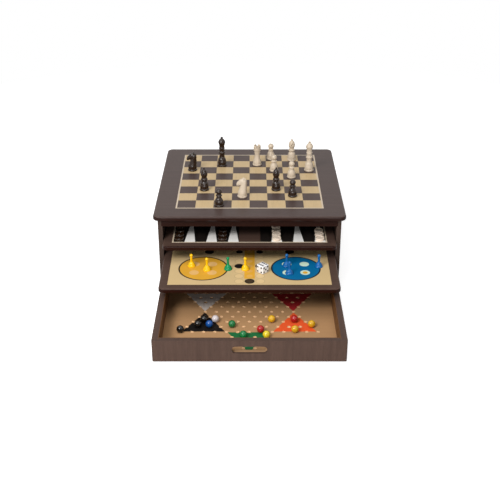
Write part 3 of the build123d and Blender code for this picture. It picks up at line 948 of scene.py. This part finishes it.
def ludo_print(name, colours):
    """The ludo sheet. Squares are found by rounding the place in squares; the
    four arms, home runs, dark spots and homes follow from the square's
    numbers, so the pattern has the board's own four-fold order."""
    finish = Finish(name, 0.45, 0.12)
    m, both = finish.math, finish.both
    middle_y = (CASE_FRONT + LUDO_MIDDLE) * MM
    place = finish.mapped(finish.place(), origin=(0, middle_y, 0))
    x, y, _ = finish.axes(place)
    u, v = (m("DIVIDE", axis, LUDO_SQUARE * MM) for axis in (x, y))
    column, row = m("ROUND", u), m("ROUND", v)
    a, b = m("ABSOLUTE", column), m("ABSOLUTE", row)
    reach = finish.reach(m("SUBTRACT", u, column), m("SUBTRACT", v, row))

    def near(value, wanted):
        return m("COMPARE", value, wanted, 0.25)

    def within(radius):
        """Covers a circle about the middle of every square, in squares."""
        return finish.ramp(reach, radius - LUDO_SOFT, radius + LUDO_SOFT, 1, 0)

    grit, cloud = finish.specks(700, 3), finish.specks(28)
    paper = finish.tinted(finish.tinted(colours.paper, 0.10, grit), 0.08, cloud)

    # a track square lies on an arm, outside the middle nine
    low, high = m("MINIMUM", a, b), m("MAXIMUM", a, b)
    on_arm = both(m("LESS_THAN", low, 1.5), m("LESS_THAN", high, LUDO_ARM + 0.5))
    track = both(on_arm, m("GREATER_THAN", high, 1.5))
    ring = both(track, finish.ramp(reach, 0.40 - LUDO_SOFT, 0.40, 0, 1), within(0.43))
    line = [c * 0.30 for c in colours.paper]
    base = finish.mix(m("MULTIPLY", ring, 0.55), paper, line)
    base = finish.mix(both(track, within(0.40)), base, [min(1, c * 1.12) for c in colours.paper])

    # home runs, with a paler dot in each square
    wide, tall = m("ABSOLUTE", u), m("ABSOLUTE", v)
    for tone, _, _, (along_x, along_y) in LUDO_HOMES:
        ink_tone = getattr(colours, tone)
        ahead, side = (wide, tall) if along_x else (tall, wide)
        toward = m("MULTIPLY", u if along_x else v, float(along_x + along_y))
        run = both(
            m("LESS_THAN", side, 0.5), m("LESS_THAN", ahead, LUDO_ARM - 0.5),
            m("GREATER_THAN", toward, 0.0), m("GREATER_THAN", ahead, side),
        )
        base = finish.mix(run, base, finish.tinted(ink_tone, 0.12, cloud))
        dot = both(run, near(low, 0), within(0.30), m("GREATER_THAN", high, 0.5))
        base = finish.mix(dot, base, [c + 0.05 * (1 - c) for c in ink_tone])

    # dark spots where the arms meet, half way out and at each end
    product, total = m("MULTIPLY", a, b), m("ADD", a, b)
    ends = both(near(low, 0), near(total, LUDO_ARM))
    base = finish.mix(both(on_arm, near(product, 1), within(0.34)), base, colours.black)
    half_way = both(on_arm, near(product, 4), near(low, 1), within(0.46))
    base = finish.mix(half_way, base, colours.black)
    base = finish.mix(both(ends, within(0.47)), base, colours.black)
    base = finish.mix(both(ends, within(0.36)), base, [0.045, 0.028, 0.014])

    # homes: an outlined disc with four spots for its men
    for tone, side_x, side_y, _ in LUDO_HOMES:
        ink_tone = getattr(colours, tone)
        out = LUDO_HOME * LUDO_SQUARE * MM
        centre = (side_x * out, middle_y + side_y * out)
        outer = finish.disc(centre, LUDO_HOME_RADIUS * MM)
        base = finish.mix(outer, base, [0.012 + 0.03 * c for c in ink_tone])
        inner = finish.disc(centre, (LUDO_HOME_RADIUS - LUDO_HOME_RING) * MM)
        base = finish.mix(inner, base, finish.tinted(ink_tone, 0.12, cloud))
        spot = [c + 0.12 * (1 - c) for c in ink_tone] if tone == "yellow" else colours.mint
        step = LUDO_MAN_SPOT * MM
        for x_way, y_way in ((-1, -1), (-1, 1), (1, -1), (1, 1)):
            at = (centre[0] + x_way * step, centre[1] + y_way * step)
            base = finish.mix(finish.disc(at, LUDO_SPOT_RADIUS * MM), base, spot)
            if tone != "yellow" and y_way == side_y:
                core = finish.disc(at, LUDO_CORE_RADIUS * MM)
                base = finish.mix(core, base, colours.yellow)
    return finish.surface(base, grit, 0.00004, 0.2)


class GAMESBOX_OT_ludo_tray(Operator):
    """Foil board with the printed ludo sheet"""

    bl_idname = "gamesbox.ludo_tray"
    bl_label = "Ludo tray"
    bl_options = {"REGISTER", "UNDO"}

    def execute(self, context):
        settings, colours = context.scene.games_box_wood, context.scene.games_box_inks
        edge = top_of("ludo_tray_board") - TRAY_EDGE
        assign(foil("lower_tray_foil", settings, settings.tray, "x", edge), "ludo_tray_board")
        assign(ludo_print("ludo_sheet_print", colours), "ludo_playing_sheet")
        return {"FINISHED"}


SLOT_REACH = (0.0298, 0.0072)  # half width and half height, a little past the slot's edge
SLOT_HEIGHT = 0.024  # of its middle, above the table
SLOT_LIP = 0.0040  # the foil is wrapped this far into the slot
DRAWER_LINING = 0.0010  # foil wraps this far round the drawer's inner edges


def drawer_foil(name, wood, along, inward, contrast=1.0, slot_front=None):
    """Tray foil outside and bare brown wood on the inner faces. inward is
    (axis, place, +1 or -1): the wood begins at that place and goes that way.
    slot_front is the front face of a board that has the finger slot, whose
    walls are then bare wood too."""
    finish = Finish(name, 0.42, 0.1)
    strengths = 0.36 * contrast, 0.30 * contrast
    base, fibres, _ = grained(finish, wood, wood.tray, along, *strengths, 0.45, 0.45)
    axis, start, way = inward
    place = finish.axes(finish.place())
    bare = finish.ramp(place[axis], start, start + way * LINING_FADE)
    base = finish.mix(bare, base, finish.tinted(wood.inner, 0.25, fibres))
    if slot_front is not None:
        x, y, z = place
        across = finish.math("LESS_THAN", finish.math("ABSOLUTE", x), SLOT_REACH[0])
        off = finish.math("ABSOLUTE", finish.math("SUBTRACT", z, SLOT_HEIGHT))
        upright = finish.math("LESS_THAN", off, SLOT_REACH[1])
        start = slot_front + SLOT_LIP
        behind = finish.ramp(y, start, start + LINING_FADE)
        slot = finish.both(across, upright, behind)
        base = finish.mix(slot, base, finish.tinted(wood.cut, 0.3, fibres))
    return finish.surface(base, fibres, 0.00012, 0.35)


class GAMESBOX_OT_drawer(Operator):
    """Foil with upright grain on the drawer front, long grain on its walls"""

    bl_idname = "gamesbox.drawer"
    bl_label = "Drawer"
    bl_options = {"REGISTER", "UNDO"}

    def execute(self, context):
        settings = context.scene.games_box_wood
        # each wall: its grain's axis, the axis across it, and the way to its inner face
        walls = {"left": ("y", 0, 1), "right": ("y", 0, -1), "back": ("x", 1, -1)}
        for wall, (along, axis, way) in walls.items():
            node = f"drawer_{wall}"
            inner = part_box(node)[way > 0][axis] - way * DRAWER_LINING
            assign(drawer_foil(f"{node}_foil", settings, along, (axis, inner, way)), node)
        low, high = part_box("drawer_front")
        inward = (1, high.y - DRAWER_LINING, 1)
        front = drawer_foil("drawer_front_foil", settings, "z", inward, 1.5, low.y)
        assign(front, "drawer_front")
        return {"FINISHED"}


# the star's points, from the one at the back and anticlockwise from above
STAR_TONES = ("yellow", "silver", "black", "green", "orange", "maroon")
STAR_INSET = 1.2  # paint stops this far inside the line of holes
PIT_DROPS = (0.00035, 0.00015)  # below the top, where bare wood takes over from paint


def star_print(name, wood, colours):
    """The drawer's floor: faint grain, six painted points and pale bare wood
    in the drilled holes. A point is found by turning the star so that it
    stands upright: beyond the base line and between the two slanting sides."""
    finish = Finish(name, 0.5, 0.12)
    fibres, bands, _ = grain(finish, wood, "x")
    base = finish.tinted(finish.tinted(wood.floor, 0.10, bands), 0.10, fibres)
    x, y = (value * MM for value in STAR_MIDDLE)
    even_row = HOLE_PITCH * math.sqrt(3) / 2 * MM  # row spacing of an even star
    stretch = (1, even_row / (HOLE_ROW * MM), 1)  # makes the star even before it is turned
    inset = STAR_INSET * MM
    tip, foot_line = 8 * even_row, 4 * even_row
    for sixth, tone in enumerate(STAR_TONES):
        place = finish.mapped(finish.place(), stretch, -sixth * math.pi / 3, (x, y, 0))
        across, out, _ = finish.axes(place)
        sides = finish.math("MULTIPLY", finish.math("ABSOLUTE", across), math.sqrt(3))
        slant = finish.math("LESS_THAN", finish.math("ADD", out, sides), tip - 2 * inset)
        above = finish.math("GREATER_THAN", out, foot_line + inset)
        base = finish.mix(finish.both(above, slant), base, getattr(colours, tone))
    up, top = finish.axes(finish.place())[2], top_of("star_board")
    low, high = (top - drop for drop in PIT_DROPS)
    bare = finish.ramp(up, low, high, 1, 0)
    base = finish.mix(bare, base, wood.pit)
    return finish.surface(base, fibres, 0.00008, 0.25)


class GAMESBOX_OT_star_board(Operator):
    """Drilled drawer floor with six painted points"""

    bl_idname = "gamesbox.star_board"
    bl_label = "Star board"
    bl_options = {"REGISTER", "UNDO"}

    def execute(self, context):
        scene = context.scene
        paint = star_print("star_board_paint", scene.games_box_wood, scene.games_box_inks)
        shape = star_board_shape()
        piece("drilled_star_board", shape, paint, "drawer", "star_board")
        return {"FINISHED"}


class GAMESBOX_OT_chess_men(Operator):
    """Turned and moulded chess pieces, dark and ivory"""

    bl_idname = "gamesbox.chess_men"
    bl_label = "Chess men"
    bl_options = {"REGISTER", "UNDO"}

    def execute(self, context):
        settings = context.scene.games_box_plastics
        finishes = {
            "dark": (plastic("dark_men_plastic", settings.dark, 0.13, sheen=0.4), "dark_plastic"),
            "light": (plastic("ivory_men_plastic", settings.ivory, 0.32), "ivory_plastic"),
        }
        shapes = {
            "king": king_shape, "bishop": bishop_shape, "knight": knight_shape,
            "rook": rook_shape, "pawn": pawn_shape,
        }
        for kind, names in CHESS_PIECES.items():
            shape = shapes[kind](settings.segments)
            for name in names:
                low, high = (np.array(corner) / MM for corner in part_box(name))
                x, y = (low[:2] + high[:2]) / 2
                if kind == "knight":  # its head leans out past the foot on one side
                    x = high[0] - KNIGHT_FOOT
                place = (x, y, low[2])
                material, slot = finishes[name.split("_")[0]]
                piece(f"{name}_piece", moved(shape, place), material, name, name)
        return {"FINISHED"}


def checker_places(side):
    """Each man's (x, y), in rows from the near or the far edge of the fields."""
    low, high = (np.array(corner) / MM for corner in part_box("backgammon_fields"))
    for edge, points in CHECKER_LAYOUT[side].items():
        for point, count in points:
            x = low[0] + (point - 0.5) * POINT_WIDTH
            if point > POINTS_EACH_SIDE:  # past the bar, measured from the right
                x = high[0] - (2 * POINTS_EACH_SIDE - point + 0.5) * POINT_WIDTH
            for n in range(count):
                inset = CHECKER_START + n * CHECKER_PITCH
                yield x, low[1] + inset if edge == "near" else high[1] - inset


class GAMESBOX_OT_checkers(Operator):
    """Fifteen dark and fifteen light backgammon men"""

    bl_idname = "gamesbox.checkers"
    bl_label = "Checkers"
    bl_options = {"REGISTER", "UNDO"}

    def execute(self, context):
        settings = context.scene.games_box_plastics
        one = checker_shape(48)
        dark = plastic("dark_checker_plastic", settings.dark, 0.2, sheen=0.5)
        light = plastic("light_checker_plastic", settings.bone, 0.34)
        finishes = {"dark": (dark, "dark_plastic"), "light": (light, "ivory_plastic")}
        for side, (material, slot) in finishes.items():
            node = f"{side}_checkers"
            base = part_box(node)[0].z / MM
            men = [moved(one, (x, y, base)) for x, y in checker_places(side)]
            piece(f"{side}_checker_men", joined(men), material, node, node)
        return {"FINISHED"}


class GAMESBOX_OT_pawns(Operator):
    """Seven ludo pawns in three colours"""

    bl_idname = "gamesbox.pawns"
    bl_label = "Ludo pawns"
    bl_options = {"REGISTER", "UNDO"}

    def execute(self, context):
        settings = context.scene.games_box_plastics
        one = ludo_pawn_shape(settings.segments)
        top = top_of("ludo_tray_board") / MM
        for tone, (node, places) in PAWNS.items():
            men = [moved(one, (x, CASE_FRONT - out, top)) for x, out in places]
            finish = plastic(f"{tone}_pawn_plastic", getattr(settings, tone), 0.2, sheen=0.25)
            piece(f"{tone}_moulded_pawns", joined(men), finish, node, node)
        return {"FINISHED"}


class GAMESBOX_OT_die(Operator):
    """White die with hollowed black pips"""

    bl_idname = "gamesbox.die"
    bl_label = "Die"
    bl_options = {"REGISTER", "UNDO"}

    def execute(self, context):
        settings = context.scene.games_box_plastics
        low, high = (np.array(corner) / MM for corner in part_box("die"))
        shape, reach = die_shape((high[2] - low[2]) / 2)
        shape = moved(shape, (low + high) / 2, turn=DIE_TURN)
        finish = die_plastic("die_plastic", settings.die, settings.pip)
        piece("pipped_die", shape, finish, "die", "die", pip_reach=reach)
        return {"FINISHED"}


class GAMESBOX_OT_marbles(Operator):
    """Solid-colour marbles on the holes of the star"""

    bl_idname = "gamesbox.marbles"
    bl_label = "Marbles"
    bl_options = {"REGISTER", "UNDO"}

    def execute(self, context):
        settings = context.scene.games_box_marbles
        for tone, (node, holes) in MARBLES.items():
            low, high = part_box(node)
            radius = (high.z - low.z) / 2 / MM
            line = topped(outline((0.01, 0)), radius, 2 * radius, points=30)
            ball = lathe(line, 48)
            balls = [moved(ball, (*star_place(*hole)[:2], low.z / MM)) for hole in holes]
            front_tone = settings.lemon if tone == "yellow" else None
            finish = marble_glass(f"{tone}_glass", getattr(settings, tone), front_tone)
            piece(f"{tone}_glass_marbles", joined(balls), finish, node, node)
        return {"FINISHED"}


# each softbox: place, the point it faces, width and height, all in metres
SOFTBOXES = (
    ("overhead", (-0.15, -0.45, 1.7), (-0.15, -0.15, 0.0), 1.8, 1.8),
    ("key", (-0.95, -1.55, 1.55), (0.0, -0.1, 0.05), 0.8, 0.8),
    ("low", (0.0, -2.2, 0.35), (0.0, -0.3, 0.05), 1.6, 0.4),
)
FLOOR_SIDES = 96
FLOOR_RINGS = (0.0, 0.4, 0.8, 1.4)
FLOOR_HEIGHT = -0.0002  # just under the case's base
FLOOR_TONE = (0.88, 0.88, 0.88)
SENSOR_WIDTH = 36  # millimetres
FARTHEST = 50  # metres from the camera


class GAMESBOX_OT_stage(Operator):
    """Pale floor, three softboxes, even sky and the camera"""

    bl_idname = "gamesbox.stage"
    bl_label = "Stage"
    bl_options = {"REGISTER", "UNDO"}

    def execute(self, context):
        settings = context.scene.games_box_stage
        self.make_floor(settings.glow)
        for name, place, target, width, height in SOFTBOXES:
            self.make_softbox(name, place, target, width, height, getattr(settings, name))
        self.make_sky(context.scene, settings.sky)
        camera = bpy.data.cameras.new("camera")
        camera.lens = settings.lens
        camera.sensor_width = SENSOR_WIDTH
        camera.clip_end = FARTHEST
        holder = bpy.data.objects.new("camera", camera)
        holder.location = (settings.camera_side, -settings.camera_back, settings.camera_up)
        holder.rotation_euler = (math.pi / 2 - settings.tilt, 0, 0)
        context.collection.objects.link(holder)
        context.scene.camera = holder
        context.scene.view_settings.view_transform = "Standard"
        return {"FINISHED"}

    @staticmethod
    def make_floor(level):
        """A round flat floor, x = r cos a and y = r sin a. To the camera it glows
        a little, so that its far reach is white and it keeps the shadow."""
        angle = np.linspace(0, 2 * math.pi, FLOOR_SIDES, endpoint=False)
        radius = np.array(FLOOR_RINGS)[:, None]
        level_z = np.full((len(FLOOR_RINGS), FLOOR_SIDES), FLOOR_HEIGHT)
        grid = np.stack([radius * np.cos(angle), radius * np.sin(angle), level_z], axis=-1)
        points, faces = shell(grid)
        mesh = bpy.data.meshes.new("studio_floor")
        mesh.from_pydata(points.tolist(), [], faces.tolist())
        made = bpy.data.objects.new("studio_floor", mesh)
        bpy.context.collection.objects.link(made)
        material = bpy.data.materials.new("floor_white")
        material.use_nodes = True
        nodes = Nodes(material.node_tree)
        nodes.tree.nodes.remove(nodes.tree.nodes["Principled BSDF"])
        strength = nodes.math("MULTIPLY", nodes.node("LightPath", "Is Camera Ray"), level)
        matt = nodes.node("BsdfDiffuse", Color=FLOOR_TONE)
        glow = nodes.node("Emission", Strength=strength)
        lit = nodes.node("AddShader", _0=matt, _1=glow)
        nodes.feed(nodes.tree.nodes["Material Output"].inputs["Surface"], lit)
        mesh.materials.append(material)

    @staticmethod
    def make_softbox(name, place, target, width, height, watts):
        light = bpy.data.lights.new(name, "AREA")
        light.shape = "RECTANGLE"
        light.size, light.size_y = width, height
        light.energy = watts
        holder = bpy.data.objects.new(name, light)
        holder.location = place
        holder.rotation_euler = (Vector(target) - Vector(place)).to_track_quat("-Z", "Y").to_euler()
        holder.visible_camera = False
        bpy.context.collection.objects.link(holder)

    @staticmethod
    def make_sky(scene, level):
        """White to the camera and in reflections, a lower level as light."""
        world = bpy.data.worlds.new("studio_sky")
        world.use_nodes = True
        scene.world = world
        nodes = Nodes(world.node_tree)
        seen = nodes.node("LightPath", "Is Camera Ray")
        for ray in ("Is Glossy Ray", "Is Transmission Ray"):
            seen = nodes.math("MAXIMUM", seen, nodes.node("LightPath", ray))
        background = nodes.tree.nodes["Background"]
        nodes.feed(background.inputs["Color"], (1, 1, 1))
        nodes.feed(background.inputs["Strength"], nodes.ramp(seen, 0, 1, level, 1))


STEPS = (
    GAMESBOX_OT_stage, GAMESBOX_OT_case, GAMESBOX_OT_chess_board, GAMESBOX_OT_backgammon_tray,
    GAMESBOX_OT_ludo_tray, GAMESBOX_OT_drawer, GAMESBOX_OT_star_board, GAMESBOX_OT_chess_men,
    GAMESBOX_OT_checkers, GAMESBOX_OT_pawns, GAMESBOX_OT_die, GAMESBOX_OT_marbles,
)
SETTINGS = {
    "games_box_wood": WoodSettings, "games_box_inks": PrintSettings,
    "games_box_plastics": PlasticSettings, "games_box_marbles": MarbleSettings,
    "games_box_stage": StageSettings,
}


class GAMESBOX_PT_panel(Panel):
    """Lists the settings and the pieces"""

    bl_idname = "GAMESBOX_PT_panel"
    bl_label = "Games Box"
    bl_space_type = "VIEW_3D"
    bl_region_type = "UI"
    bl_category = "Games Box"

    def draw(self, context):
        for name, group in SETTINGS.items():
            box = self.layout.box()
            box.label(text=group.__doc__)
            for prop in group.__annotations__:
                box.prop(getattr(context.scene, name), prop)
        for step in STEPS:
            self.layout.operator(step.bl_idname)


def register():
    for cls in (*SETTINGS.values(), *STEPS, GAMESBOX_PT_panel):
        bpy.utils.register_class(cls)
    for name, group in SETTINGS.items():
        setattr(bpy.types.Scene, name, PointerProperty(type=group))


def unregister():
    for name in SETTINGS:
        delattr(bpy.types.Scene, name)
    for cls in reversed((*SETTINGS.values(), *STEPS, GAMESBOX_PT_panel)):
        bpy.utils.unregister_class(cls)


def main():
    register()
    for step in STEPS:
        getattr(bpy.ops.gamesbox, step.bl_idname.split(".")[1])()


if __name__ == "__main__":
    main()
